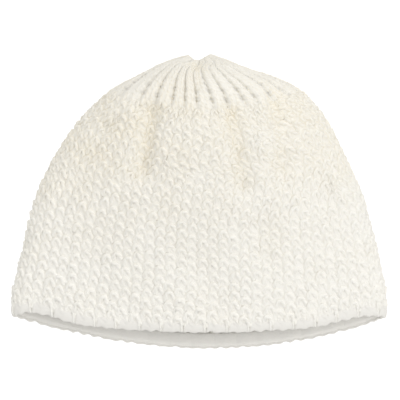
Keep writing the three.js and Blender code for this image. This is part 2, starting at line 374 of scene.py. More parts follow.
@dataclass
class WaleLayout:
    """Where the columns of stitches, or wales, lie on every row.

    Rows are counted from the first above the hem band. The wales are even at the hem, eight pairs are
    knitted together on the way up, and in the crown every knit wale is wide and every purl wale sinks
    between two of them. Near the centre the purl wales end, and then every second knit one. The fades are
    the rows that a wale takes to narrow before its end, and the spans are counted from the first row of the
    ribs.
    """

    moss_rows: int = 44
    rib_rows: int = 19
    wales: int = 72
    per_row: int = 8
    decreases: tuple[int, ...] = (5, 14, 22, 31, 40, 49, 57, 66)
    decrease_rows: tuple[int, ...] = (30, 37, 26, 38, 34, 40, 28, 36)
    decrease_fade: float = 6.0
    knit_width: float = 1.58
    knit_fade: float = 3.0
    purl_fade: float = 7.0
    purl_end: float = 55.0
    half_end: float = 58.3
    past_end: float = 0.7
    first_uneven: float = 8.67
    uneven: tuple[float, ...] = (0.93, 1.31, 0.69, 1.04, 0.89, 0.95, 0.71, 0.73, 1.05, 0.92, 1.55)
    uneven_span: tuple[float, float] = (-9, 2)
    width_span: tuple[float, float] = (-1.5, 1.5)
    relief_span: tuple[float, float] = (-1, 2)
    rib_depth: float = 2.5
    rib_depth_share: float = 0.26
    knit_rise: float = 0.2
    groove_narrowness: float = 3.0
    groove_dots: float = 0.6
    groove_scallops: float = 0.6
    hem_overlap: float = 0.008
    row_middle: float = 0.45
    crown_end: float = 0.99
    last_row_cut: float = 0.2
    ribs: int = field(init=False)
    rows: int = field(init=False)
    t_grid: ndarray = field(init=False)
    is_knit: ndarray = field(init=False)
    edges: ndarray = field(init=False)
    last_rows: ndarray = field(init=False)

    def __post_init__(self) -> None:
        """Works out the edges of the wales and their last rows on a fine grid of rows."""
        self.ribs = (self.wales - 2 * len(self.decreases)) // 2
        self.rows = self.moss_rows + self.rib_rows
        self.t_grid = np.arange(-self.per_row, (self.rows + 2) * self.per_row) / self.per_row
        self.is_knit = np.arange(self.wales) % 2 == 1
        self.last_rows = np.full(self.wales, float(self.rows))
        self._lay_out()

    @staticmethod
    def _pair(wale: int) -> list[int]:
        """The two wales that are knitted together at a wale."""
        return [2 * (wale // 2) + 1, 2 * (wale // 2) + 2]

    def _rib_of(self) -> tuple[ndarray, ndarray]:
        """Which wales end before the ribs.

        Returns:
            Whether each wale ends, and the rib that each belongs to.
        """
        gone = np.zeros(self.wales, bool)
        for wale in self.decreases:
            gone[self._pair(wale)] = True
        order = np.cumsum(~gone) - 1
        return gone, order // 2

    def _rib_places(self) -> tuple[float, ndarray]:
        """How the ribs are spread around the crown.

        Returns:
            The first rib's start as a share of the way around, and the ribs' relative widths.
        """
        even = (self.ribs - sum(self.uneven)) / (self.ribs - len(self.uneven))
        before = math.ceil(self.first_uneven / even)
        widths = np.full(self.ribs, even)
        widths[before : before + len(self.uneven)] = self.uneven
        return (self.first_uneven - before * even) / self.ribs, widths

    def _around_ribs(self, t: Numbers, span: tuple[float, float]) -> ndarray:
        """How far a change that takes some rows around the start of the ribs has gone."""
        return ease(t, self.moss_rows + span[0], self.moss_rows + span[1])

    def _lay_out(self) -> None:
        """Fills edges and last_rows."""
        gone, rib = self._rib_of()
        first_place, widths = self._rib_places()
        t = self.t_grid[:, None]
        own = widths[rib % self.ribs]
        before = widths[(rib - 1) % self.ribs]
        rib_width = np.where(self.is_knit, own, (own + before) / 2)
        width = mix(1.0, rib_width, self._around_ribs(t, self.uneven_span))
        kind_width = np.where(self.is_knit, self.knit_width, 2 - self.knit_width)
        width = width * mix(1.0, kind_width, self._around_ribs(t, self.width_span))
        for wale, row in zip(self.decreases, self.decrease_rows):
            self.last_rows[self._pair(wale)] = row
        self.last_rows[~self.is_knit & ~gone] = self.purl_end
        self.last_rows[self.is_knit & ~gone & (rib % 2 == 0)] = self.half_end
        fade = np.where(gone, self.decrease_fade, np.where(self.is_knit, self.knit_fade, self.purl_fade))
        width = width * (1 - ease(t, self.last_rows - fade, self.last_rows + self.past_end))
        ends = np.cumsum(width, axis=1)
        edges = np.concatenate([np.zeros((len(t), 1)), ends], axis=1) / ends[:, -1:]
        self.edges = edges + first_place - edges[:, 1:2] / 2

    def u_of(self, wale: ndarray, across: Numbers, t: ndarray) -> ndarray:
        """Shares of the way around.

        Args:
            wale: the wales' numbers.
            across: where in the wale, from -0.5 at its start to 0.5 at its end.
            t: the rows, with fractions.

        Returns:
            The share of the way around of each place.
        """
        place = np.clip((t - self.t_grid[0]) * self.per_row, 0, len(self.t_grid) - 1.001)
        row = place.astype(int)
        part = place - row

        def edge(number: ndarray) -> ndarray:
            """The start of a wale, between the two nearest rows of the grid."""
            return self.edges[row, number] * (1 - part) + self.edges[row + 1, number] * part

        start = edge(wale)
        return start + (edge(wale + 1) - start) * (across + 0.5)

    def v_of(self, t: ndarray) -> ndarray:
        """Shares of the way up.

        Args:
            t: the rows, with fractions.

        Returns:
            The share of the way up of each place.
        """
        moss_start = HEM_END - self.hem_overlap
        moss_step = (RIB_START - HEM_END + self.hem_overlap) / self.moss_rows
        rib_step = (self.crown_end - RIB_START) / (self.rib_rows - self.last_row_cut)
        middle = t + self.row_middle
        ribs = RIB_START + (middle - self.moss_rows) * rib_step
        return np.where(middle < self.moss_rows, moss_start + middle * moss_step, ribs)

    def kind(self, wale: ndarray, row: int) -> ndarray:
        """1 where the stitch of each wale is knit on that row, and -1 where it is purl."""
        knit = self.is_knit[wale % self.wales] if row >= self.moss_rows else (wale + row) % 2 == 1
        return np.where(knit, Stitch.KNIT.value, Stitch.PURL.value)

    def lives(self, row: int) -> ndarray:
        """The numbers of the wales that have a stitch on that row."""
        return np.nonzero(self.last_rows > row + 0.5)[0]

    def ribbed(self, t: Numbers) -> ndarray:
        """How far the fabric has changed from moss stitch to ribs: 0 in the body, 1 in the crown."""
        return self._around_ribs(t, self.relief_span)

    def rib_lift(self, wale: ndarray, across: ndarray, t: ndarray, girth: ndarray) -> ndarray:
        """How far the ribs lift or sink the middle of the fabric.

        Args:
            wale: the wales' numbers.
            across: where in the wale, from -0.5 to 0.5.
            t: the rows, with fractions.
            girth: the length of the course at each place.

        Returns:
            The lift, which is up on the knit wales and down on the purl wales between them.
        """
        phase = np.where(self.is_knit[wale % self.wales], across, across + 1)
        depth = np.minimum(self.rib_depth, self.rib_depth_share * girth / self.ribs)
        beat = np.cos(2 * math.pi * t)
        narrowness = self.groove_narrowness * (1 - self.groove_scallops * beat)
        groove = (0.5 - 0.5 * np.cos(math.pi * phase)) ** narrowness
        groove = groove * (1 + self.groove_dots * beat)
        return self.ribbed(t) * depth * (self.knit_rise - groove)


def to_linear(hex_colour: str) -> tuple[float, float, float, float]:
    """An sRGB colour as linear values.

    Args:
        hex_colour: the colour, such as "#f4f1e6".

    Returns:
        Red, green, blue and an alpha of 1.
    """
    parts = [int(hex_colour[i : i + 2], 16) / 255 for i in (1, 3, 5)]
    linear = [c / 12.92 if c <= 0.04045 else ((c + 0.055) / 1.055) ** 2.4 for c in parts]
    return linear[0], linear[1], linear[2], 1.0


def add_node(tree: NodeTree, kind: str, inputs: dict | tuple = (), **settings: object) -> Node:
    """Adds a node to a tree.

    Args:
        tree: the tree.
        kind: the node's type.
        inputs: what its sockets get, in order or by name or number: a value, an output, or a node, whose
            first output is meant.
        **settings: the node's own settings.

    Returns:
        The node.
    """
    node = tree.nodes.new(kind)
    for name, value in settings.items():
        setattr(node, name, value)
    for key, value in (inputs if isinstance(inputs, dict) else dict(enumerate(inputs))).items():
        source = value.outputs[0] if isinstance(value, Node) else value
        if isinstance(source, NodeSocket):
            tree.links.new(source, node.inputs[key])
        else:
            node.inputs[key].default_value = source
    return node


class ShadeSpot(NamedTuple):
    """A place with painted shade, where the colour goes further to the darker, deeper cream.

    Its x and y, how far it reaches, and how much painted shade it adds; a negative amount takes some away.
    """

    x: float
    y: float
    reach: float
    amount: float


PAINTED_SHADE_SPOTS = (
    ShadeSpot(-18, 72, 26, 0.4),
    ShadeSpot(-50, 35, 36, 0.25),
    ShadeSpot(71, 35, 26, 0.2),
    ShadeSpot(110, 5, 50, -0.3),
)

# Painted shade, darker towards the crown: it rises between these two y, from what it is at the hem to what it
# is at the crown.
SHADE_LOW_Y = -45
SHADE_HIGH_Y = 55
HEM_SHADE = 0.35
CROWN_SHADE = 1.1


def painted_shade_by_place(tree: NodeTree, spot: NodeSocket) -> Node:
    """How much painted shade the yarn gets at each place: little at the hem, more at the crown, most in a few
    spots.

    Args:
        tree: the material's tree.
        spot: the place.

    Returns:
        The node with the amount, around 1 at the crown.
    """
    height = add_node(tree, "ShaderNodeSeparateXYZ", (spot,)).outputs[1]
    ends = {"From Min": SHADE_LOW_Y * MM, "From Max": SHADE_HIGH_Y * MM, "To Min": HEM_SHADE, "To Max": CROWN_SHADE}
    total = add_node(tree, "ShaderNodeMapRange", {"Value": height, **ends})
    flat = add_node(tree, "ShaderNodeVectorMath", (spot, (1, 1, 0)), operation="MULTIPLY")
    for shade_spot in PAINTED_SHADE_SPOTS:
        middle = (shade_spot.x * MM, shade_spot.y * MM, 0)
        away = add_node(tree, "ShaderNodeVectorMath", (flat, middle), operation="DISTANCE").outputs["Value"]
        ends = {"From Min": 0, "From Max": shade_spot.reach * MM, "To Min": shade_spot.amount, "To Max": 0}
        glow = add_node(tree, "ShaderNodeMapRange", {"Value": away, **ends}, interpolation_type="SMOOTHSTEP")
        total = add_node(tree, MATH, (total, glow), operation="ADD")
    return total


@dataclass(frozen=True)
class YarnFinish:
    """What the finishes share: how matt and downy they are, and a cream that goes to a darker, deeper cream
    for painted shade and random tone.
    """

    name: str = "plied_wool_yarn"
    colour: str = "#fbfaf6"
    # The darker, deeper cream that painted shade and random tone go towards.
    shade_and_tone_colour: str = "#f2e8cf"
    roughness: float = 0.92
    specular: float = 0.3
    sheen: float = 0.25

    def _start(self) -> tuple[Material, NodeTree, NodeSocket]:
        """Starts the material.

        Returns:
            The material, its tree, and the place on the piece.
        """
        material = bpy.data.materials.new(self.name)
        material.use_nodes = True
        tree = material.node_tree
        return material, tree, add_node(tree, "ShaderNodeTexCoord").outputs["Object"]

    def _complete(self, tree: NodeTree, shade_and_tone: Node, relief: Node) -> None:
        """Gives the shader its colour, its relief and the numbers that are the same all over.

        Args:
            tree: the material's tree.
            shade_and_tone: how far the colour goes to the deeper, darker one, which paints shade and random
                tone.
            relief: the bump.
        """
        shader = tree.nodes["Principled BSDF"]
        colours = {0: shade_and_tone, 6: to_linear(self.colour), 7: to_linear(self.shade_and_tone_colour)}
        colour = add_node(tree, "ShaderNodeMix", colours, data_type="RGBA", clamp_factor=True)
        tree.links.new(colour.outputs[2], shader.inputs["Base Color"])
        tree.links.new(relief.outputs[0], shader.inputs["Normal"])
        shader.inputs["Roughness"].default_value = self.roughness
        shader.inputs["Specular IOR Level"].default_value = self.specular
        shader.inputs["Sheen Weight"].default_value = self.sheen


@dataclass(frozen=True)
class PliedYarn(YarnFinish):
    """Soft yarn of wool and acrylic, spun from three plies and then steamed.

    The plies show as low slanting ridges, and the fibres scatter light so that it looks matt and milky. The
    colour
    has painted shade: it goes to a darker, deeper cream where the yarn lies deep and in the furrows between
    the plies. Real fibres are 0.03 mm thick, too fine to show, so they are drawn as tufts half a millimetre
    wide and nearly a millimetre long. tuft_scale is how many of them go into the yarn's radius, and
    tuft_stretch the length along the yarn that counts as much as the radius.
    """

    plies: int = 3
    lay: float = 9.0
    ridge: float = 0.3
    ridge_shape: float = 0.6
    ridge_strength: float = 0.7
    tuft_scale: float = 3.2
    tuft_stretch: float = 35 / 12
    tuft_height: float = 0.3
    tuft_strength: float = 0.6
    patch: float = 28.0
    patch_level: float = 0.35
    patch_warmth: float = 0.5
    recess_painted_shade: float = 0.35
    furrow_painted_shade: float = 0.25

    def make(self) -> Material:
        """Builds the material.

        Returns:
            The material, which reads the yarn's own attributes for its turn, its length and how proud it is.
        """
        material, tree, spot = self._start()
        turn = add_node(tree, "ShaderNodeAttribute", attribute_name="yarn_turn").outputs["Vector"]
        cosine, sine, length = add_node(tree, "ShaderNodeSeparateXYZ", (turn,)).outputs
        angle = add_node(tree, MATH, (sine, cosine), operation="ARCTAN2")
        share = add_node(tree, MATH, (angle, 2 * math.pi), operation="DIVIDE")
        twist = add_node(tree, MATH, (length, self.lay), operation="DIVIDE")
        place = add_node(tree, MATH, (share, twist), operation="ADD")
        ply = add_node(tree, MATH, (place, math.pi * self.plies), operation="MULTIPLY")
        wave = add_node(tree, MATH, (ply,), operation="SINE")
        ridge = add_node(tree, MATH, (wave,), operation="ABSOLUTE")
        crest = add_node(tree, MATH, (ridge, self.ridge_shape), operation="POWER")
        along = add_node(tree, MATH, (length, 1 / self.tuft_stretch), operation="MULTIPLY")
        around = add_node(tree, "ShaderNodeCombineXYZ", (along, cosine, sine))
        tuft = {"Vector": around, "Scale": self.tuft_scale, "Detail": 3}
        tufts = add_node(tree, "ShaderNodeTexNoise", tuft)
        bump = {"Strength": self.ridge_strength, "Distance": self.ridge * MM, "Height": crest}
        plied = add_node(tree, "ShaderNodeBump", bump)
        bump = {"Strength": self.tuft_strength, "Distance": self.tuft_height * MM, "Height": tufts}
        relief = add_node(tree, "ShaderNodeBump", {**bump, "Normal": plied})
        cloud = {"Vector": spot, "Scale": 1 / (self.patch * MM), "Detail": 2}
        patches = add_node(tree, "ShaderNodeTexNoise", cloud)
        proud = add_node(tree, "ShaderNodeAttribute", attribute_name="proud").outputs["Fac"]
        total = 0.0
        # Painted shade: the colour goes to the darker cream where the yarn is not proud and in the ply
        # furrows; the patches are random tone.
        for high, low, weight in (
            (1.0, proud, self.recess_painted_shade),
            (1.0, crest, self.furrow_painted_shade),
            (patches, self.patch_level, self.patch_warmth),
        ):
            gap = add_node(tree, MATH, (high, low), operation="SUBTRACT")
            total = add_node(tree, MATH, (gap, weight, total), operation="MULTIPLY_ADD")
        shade_and_tone = add_node(tree, MATH, (total, painted_shade_by_place(tree, spot)), operation="MULTIPLY")
        self._complete(tree, shade_and_tone, relief)
        return material


@dataclass(frozen=True)
class FeltedGround(YarnFinish):
    """The short fibres that fill the holes of the knitting, felted a little by wear and washing.

    They look matt and uneven. Single ones are too fine to show, so they are drawn as lumps of about a
    millimetre.
    """

    name: str = "felted_yarn_fibres"
    roughness: float = 1.0
    specular: float = 0.2
    sheen: float = 0.3
    shade_and_tone: float = 0.2
    lump: float = 0.9
    height: float = 0.7
    strength: float = 0.8

    def make(self) -> Material:
        """Builds the material.

        Returns:
            The material.
        """
        material, tree, spot = self._start()
        felt = {"Vector": spot, "Scale": 1 / (self.lump * MM), "Detail": 4}
        lumps = add_node(tree, "ShaderNodeTexNoise", felt)
        bump = {"Strength": self.strength, "Distance": self.height * MM, "Height": lumps}
        relief = add_node(tree, "ShaderNodeBump", bump)
        # Painted shade: the fill takes a share of the yarn's painted shade by place.
        shade_and_tone = add_node(tree, MATH, (painted_shade_by_place(tree, spot), self.shade_and_tone), operation="MULTIPLY")
        self._complete(tree, shade_and_tone, relief)
        return material


def put(name: str, data: bpy.types.ID) -> Object:
    """Puts something into the scene.

    Args:
        name: the new object's name.
        data: its mesh, light or camera.

    Returns:
        The object.
    """
    thing = bpy.data.objects.new(name, data)
    bpy.context.scene.collection.objects.link(thing)
    return thing


def flatten_on_table(mesh: Mesh) -> None:
    """Presses flat what would reach below the table.

    Args:
        mesh: the piece's mesh, in metres.
    """
    points = np.empty(len(mesh.vertices) * 3, np.float32)
    mesh.vertices.foreach_get("co", points)
    points[2::3] = np.maximum(points[2::3], CAD_BOX[0][2])
    mesh.vertices.foreach_set("co", points)
    mesh.update()


def settle(piece: Object, *nodes: str) -> None:
    """Lets a piece ride with the beanie and stand for its nodes, and reports it.

    Args:
        piece: the finished piece.
        *nodes: the nodes of the model that it stands for.
    """
    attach(piece, BODY)
    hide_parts(*nodes)
    log.info("%s: %d triangles", piece.name, sum(len(face.vertices) - 2 for face in piece.data.polygons))


def grid_mesh(name: str, grid: ndarray, material: Material) -> Object:
    """A closed skin of quads over a grid that closes on itself both ways.

    Args:
        name: the piece's name.
        grid: points by ring and by place around the ring, with the rings in order around the wall's section.
        material: the finish.

    Returns:
        The piece.
    """
    rings, around = grid.shape[:2]
    ring, place = np.meshgrid(np.arange(rings), np.arange(around), indexing="ij")
    after_ring = (ring + 1) % rings
    after_place = (place + 1) % around
    corners = [ring * around + place, ring * around + after_place]
    corners += [after_ring * around + after_place, after_ring * around + place]
    faces = np.stack([corner.ravel() for corner in corners], axis=1)
    mesh = bpy.data.meshes.new(name)
    mesh.from_pydata((grid.reshape(-1, 3) * MM).tolist(), [], faces.tolist())
    mesh.polygons.foreach_set("use_smooth", np.ones(len(faces), bool))
    mesh.materials.append(material)
    flatten_on_table(mesh)
    return put(name, mesh)


@dataclass
class YarnPath:
    """The middle of a stretch of yarn, with its diameter (girth) and how proud it stands at each point, which
    the yarn's finish turns into painted shade where it is low.
    """

    points: ndarray
    girth: ndarray
    proud: ndarray
    closed: bool = True


@dataclass
class YarnSweep:
    """Geometry Nodes that lay round yarn along paths of points.

    sides is the number of faces around the yarn, and tightness is what each path's girth is multiplied by.
    """

    sides: int = 8
    tightness: float = 1.0
    tree: NodeTree = field(init=False)

    def __post_init__(self) -> None:
        """Builds the tree, with named inputs for the yarn's size and finish."""
        self.tree = bpy.data.node_groups.new("yarn_sweep", "GeometryNodeTree")
        tree = self.tree
        sockets = (("Geometry", "Geometry"), ("Tightness", "Float"), ("Sides", "Int"), ("Yarn", "Material"))
        for name, kind in sockets:
            tree.interface.new_socket(name, in_out="INPUT", socket_type="NodeSocket" + kind)
        tree.interface.new_socket("Geometry", in_out="OUTPUT", socket_type="NodeSocketGeometry")
        given = add_node(tree, "NodeGroupInput").outputs
        spline = add_node(tree, "GeometryNodeSplineParameter").outputs
        store = "GeometryNodeStoreNamedAttribute"
        read = "GeometryNodeInputNamedAttribute"
        number = {"data_type": "FLOAT", "domain": "POINT"}
        path = add_node(tree, "GeometryNodeMeshToCurve", (given["Geometry"],))
        kept = {"Geometry": path, "Name": "yarn_length", "Value": spline["Length"]}
        path = add_node(tree, store, kept, **number)
        radius = add_node(tree, MATH, (given["Tightness"], MM / 2), operation="MULTIPLY")
        size = {"Resolution": given["Sides"], "Radius": radius}
        circle = add_node(tree, "GeometryNodeCurvePrimitiveCircle", size)
        kept = {"Geometry": circle, "Name": "yarn_around", "Value": spline["Factor"]}
        circle = add_node(tree, store, kept, **number)
        girth, around, along = (
            add_node(tree, read, {"Name": name}, data_type="FLOAT")
            for name in ("girth", "yarn_around", "yarn_length")
        )
        parts = {"Curve": path, "Profile Curve": circle, "Scale": girth, "Fill Caps": True}
        tube = add_node(tree, "GeometryNodeCurveToMesh", parts)
        angle = add_node(tree, MATH, (around, 2 * math.pi), operation="MULTIPLY")
        cosine, sine = (add_node(tree, MATH, (angle,), operation=name) for name in ("COSINE", "SINE"))
        length = add_node(tree, MATH, (along, MM), operation="DIVIDE")
        turn = add_node(tree, "ShaderNodeCombineXYZ", (cosine, sine, length))
        kept = {"Geometry": tube, "Name": "yarn_turn", "Value": turn}
        tube = add_node(tree, store, kept, data_type="FLOAT_VECTOR", domain="POINT")
        smooth = add_node(tree, "GeometryNodeSetShadeSmooth", (tube,))
        real = add_node(tree, "GeometryNodeRealizeInstances", (smooth,))
        dressed = add_node(tree, "GeometryNodeSetMaterial", {0: real, "Material": given["Yarn"]})
        add_node(tree, "NodeGroupOutput", (dressed,))

    @staticmethod
    def _path_mesh(name: str, paths: Sequence[YarnPath]) -> Mesh:
        """The paths as one mesh.

        Args:
            name: the piece's name.
            paths: the middles of the yarns.

        Returns:
            A mesh of edges alone, with the girth and how proud the yarn stands at each point.
        """
        mesh = bpy.data.meshes.new(name + "_path")
        edges = []
        start = 0
        for path in paths:
            number = np.arange(len(path.points))
            pairs = np.stack([number, (number + 1) % len(number)], axis=1) + start
            edges.append(pairs if path.closed else pairs[:-1])
            start += len(number)
        pairs = np.concatenate(edges)
        points = np.concatenate([path.points for path in paths]) * MM
        mesh.vertices.add(start)
        mesh.vertices.foreach_set("co", points.astype(np.float32).ravel())
        mesh.edges.add(len(pairs))
        mesh.edges.foreach_set("vertices", pairs.astype(np.int32).ravel())
        for attribute in ("girth", "proud"):
            values = np.concatenate([getattr(path, attribute) for path in paths]).astype(np.float32)
            mesh.attributes.new(attribute, "FLOAT", "POINT").data.foreach_set("value", values)
        mesh.update()
        return mesh

    def lay(self, name: str, paths: Sequence[YarnPath], material: Material) -> Object:
        """Lays yarn along paths.

        Args:
            name: the piece's name.
            paths: the middles of the yarns.
            material: the yarn's finish.

        Returns:
            The piece, as a plain mesh.
        """
        source = put(name + "_path", self._path_mesh(name, paths))
        modifier = source.modifiers.new("yarn", "NODES")
        modifier.node_group = self.tree
        values = {"Tightness": self.tightness, "Sides": self.sides, "Yarn": material}
        for item in self.tree.interface.items_tree:
            if item.in_out == "INPUT" and item.name in values:
                modifier[item.identifier] = values[item.name]
        evaluated = source.evaluated_get(bpy.context.evaluated_depsgraph_get())
        result = bpy.data.meshes.new_from_object(evaluated)
        bpy.data.objects.remove(source)
        for attribute in ("girth", "yarn_length", "yarn_around"):
            if attribute in result.attributes:
                result.attributes.remove(result.attributes[attribute])
        result.name = name
        flatten_on_table(result)
        return put(name, result)


class Loop(NamedTuple):
    """How the loops of yarn run in one kind of fabric.

    waist and spread narrow a loop's neck and widen its head, as shares of the wale, and lean slants it.
    foot and neck are how far to the stitch's own side of the wall it lies at those places, reach is how
    near it comes to the wall's faces, and bulge is how much of the profile it has. thickness is the yarn's
    share of the wale's width. slip and stray are how unevenly the heads lie in the wale and out of it, and
    slub and waver how uneven the yarn's thickness is and how it lies from point to point.
    """

    waist: float
    spread: float
    lean: float
    foot: float
    neck: float
    reach: float
    bulge: float
    thickness: float
    slip: float
    stray: float
    slub: float
    waver: float


MOSS = Loop(-0.03, 0.09, 0.03, -0.4, 1.0, 0.95, 1.0, 0.47, 0.085, 0.2, 0.1, 0.16)
RIBS = Loop(0.13, -0.06, 0.0, 0.95, 0.55, 1.0, 0.0, 0.56, 0.0255, 0.1, 0.03, 0.1)


@dataclass
class KnittedFabric:
    """The loops of yarn of the body and the crown, each made of a number of steps.

    profile is how far each step of a moss stitch stands out to its own side, and swell how full the yarn is
    there. The first rows lie no deeper than first_side, so that they don't show through the inside of the hem
    band, and over first_span they are set free.
    """

    form: HatForm
    layout: WaleLayout
    steps: int = 12
    loop_height: float = 0.9
    peak: float = -0.13
    profile: tuple[float, ...] = (0.0, -0.2, -0.2, -0.2, 0.2, 0.3, 0.4, 0.4, 0.0, 0.35, 0.1, -0.2)
    swell: tuple[float, ...] = (0.95, 0.95, 0.95, 0.95, 1.0, 1.0, 1.0, 1.0, 1.0, 1.0, 1.0, 0.95)
    slimmest: float = 1.5
    fattest: float = 4.0
    evening: int = 5
    size_spread: float = 0.09
    height_spread: float = 0.1
    girth_spread: float = 0.05
    first_side: float = 0.45
    first_span: tuple[float, float] = (1.2, 3.4)
    # Painted shade: how proud the yarn is, which the finish turns into a darker cream where it is low, on the
    # wall's inner side and in the soft folds.
    mean_proud: float = 0.5
    side_proud: float = 0.1
    fold_painted_shade: float = 0.08
    piece_rows: int = 11
    seed: int = 5

    def course(self, row: int, rng: np.random.Generator) -> YarnPath:
        """The yarn of one row, all the way around.

        Args:
            row: the row's number.
            rng: the source of the small differences between stitches.

        Returns:
            The closed path of the yarn.
        """
        layout = self.layout
        wales = layout.lives(row)
        each = (len(wales), 1)
        ribbed = float(layout.ribbed(row))
        loop = Loop(*mix(np.array(MOSS), np.array(RIBS), ribbed))
        turn = np.arange(self.steps) / self.steps * 2 * math.pi
        angle = np.broadcast_to(turn, (len(wales), self.steps))
        wale = np.broadcast_to(wales[:, None], angle.shape)
        size = rng.normal(1, self.size_spread, each)
        slip = rng.normal(0, loop.slip, each)
        middle = np.sin(angle / 2)
        up = -self.loop_height * (np.cos(angle) + self.peak * np.cos(3 * angle)) / (1 + self.peak) * size
        up = up + rng.normal(0, self.height_spread, each) * middle
        across = turn / (2 * math.pi) - 0.5 + loop.waist * np.sin(2 * angle) - loop.spread * np.sin(angle)
        across = across + loop.lean * up + slip * middle
        t = row + up
        u = layout.u_of(wale, across, t)
        v = layout.v_of(t)
        girth = self.form.girth(v)
        room = layout.u_of(wale, 0.5, t) - layout.u_of(wale, -0.5, t)
        share = loop.thickness * rng.normal(1, self.girth_spread, each)
        thick = np.clip(share * room * girth, self.slimmest, self.fattest)
        thick = self._evened(thick.ravel()).reshape(thick.shape) * mix(np.array(self.swell), 1.0, ribbed)
        thick = thick * rng.normal(1, loop.slub, thick.shape)
        deepest = mix(self.first_side, -1.0, ease(t, *self.first_span))
        side = np.maximum(self._side(wales, row, angle, loop), deepest)
        own = layout.kind(wales, row)[:, None]
        lift = -WALL / 2 + side * loop.reach * (WALL - thick) / 2 + loop.bulge * own * np.array(self.profile)
        lift = lift + rng.normal(0, loop.stray, each) * middle
        lift = lift + rng.normal(0, loop.waver, lift.shape)
        lift = lift + layout.rib_lift(wale, across, t, girth)
        points = self.form.at(u.ravel(), v.ravel(), lift.ravel())
        # Painted shade, carried by how proud the yarn is: deeper on the wall's inner side and in the soft
        # folds.
        proud = self.mean_proud + self.side_proud * side - self.fold_painted_shade * self.form.hollow(u, v)
        return YarnPath(points, thick.ravel(), proud.ravel())

    def _side(self, wales: ndarray, row: int, angle: ndarray, loop: Loop) -> ndarray:
        """Which side of the wall's middle the yarn lies on, from 1, outside, to -1, inside.

        Args:
            wales: the wales that have a stitch on the row.
            row: the row's number.
            angle: how far along its loop each point of each stitch lies, in radians.
            loop: how the row's loops run.

        Returns:
            The side at each point. The legs lie on the stitch's own side, and the head on the side to which
            the next row's stitch isn't drawn.
        """
        own = self.layout.kind(wales, row)
        above = self.layout.kind(wales, row + 1)
        sinker = (own + np.roll(own, 1)) / 2
        foot = own * loop.foot
        neck = own * loop.neck
        keys = np.stack([-sinker, foot, own, neck, -above, neck, own, foot, -np.roll(sinker, -1)], axis=1)
        place = angle / (math.pi / 4)
        low = np.minimum(place.astype(int), 7)
        blend = (1 - np.cos(math.pi * (place - low))) / 2
        each = np.arange(len(wales))[:, None]
        return keys[each, low] * (1 - blend) + keys[each, low + 1] * blend

    def _evened(self, values: ndarray) -> ndarray:
        """Values around a closed course, each the mean of its neighbours."""
        window = 2 * self.evening + 1
        return np.convolve(np.pad(values, self.evening, "wrap"), np.full(window, 1 / window), mode="valid")

    def build(self, sweep: YarnSweep, yarn: Material) -> None:
        """Lays the yarn of every row: the moss rows in four pieces, and the ribs in one.

        Args:
            sweep: what lays the yarn.
            yarn: its finish.
        """
        rng = np.random.default_rng(self.seed)
        moss_rows = self.layout.moss_rows
        names = ("moss_rows_low", "moss_rows_mid", "moss_rows_high", "moss_rows_top", "rib_rows")
        splits = [*range(0, moss_rows + 1, self.piece_rows), self.layout.rows]
        for name, first, end in zip(names, splits, splits[1:]):
            rows = [self.course(row, rng) for row in range(first, end)]
            piece = sweep.lay(name, rows, yarn)
            settle(piece, "ribbed_crown" if first >= moss_rows else "moss_stitch_body")


class Skin(NamedTuple):
    """A closed skin of fibres between two rows.

    node is the node it stands for, wale_row the row that gives its wales, and places where its points lie in
    every wale.
    """

    name: str
    node: str
    wale_row: int
    first: float
    last: float
    rings: int
    places: tuple[float, ...]


@dataclass
class FibreFill:
    """The matted fibres in the middle of the wall, which the loops of yarn lie in.

    lift is how far out of the form the middle of the fill lies, and rib_rise how much higher it is in the
    crown.
    """

    form: HatForm
    layout: WaleLayout
    lift: float = -1.7
    thickness: float = 0.7
    rib_rise: float = 0.95
    evenness: float = 0.03

    def build(self, finish: Material) -> None:
        """Makes the fill of the body and of the crown.

        Args:
            finish: the fibres' finish.
        """
        join = self.layout.moss_rows - 1
        end = self.layout.rows - 0.6
        body = Skin("body_fibres", "moss_stitch_body", 0, -0.9, join + 1, 46, (-0.5, -0.25, 0.0, 0.25))
        crown = Skin("crown_fibres", "ribbed_crown", join, join - 0.2, end, 49, (-0.5, -0.3, -0.1, 0.1, 0.3))
        for skin in (body, crown):
            settle(grid_mesh(skin.name, self._grid(skin), finish), skin.node)

    def _grid(self, skin: Skin) -> ndarray:
        """The points of one skin, which follow the wales.

        Args:
            skin: the skin.

        Returns:
            Its rings of points, up the outer face and down the inner one.
        """
        layout = self.layout
        wales = layout.lives(skin.wale_row)
        wale = np.repeat(wales, len(skin.places))
        across = np.tile(skin.places, len(wales))
        even = layout.u_of(wale, across, np.full(len(wale), float(skin.wale_row)))
        outer, inner = [], []
        for t in np.linspace(skin.first, skin.last, skin.rings):
            row = np.full(len(wale), t)
            u = mix(layout.u_of(wale, across, row), even, self.evenness)
            v = layout.v_of(row)
            lift = self.lift + self.rib_rise * layout.ribbed(row)
            lift = lift + layout.rib_lift(wale, across, row, self.form.girth(v))
            outer.append(self.form.at(u, v, lift + self.thickness / 2))
            inner.append(self.form.at(u, v, lift - self.thickness / 2))
        return np.stack(outer + inner[::-1])


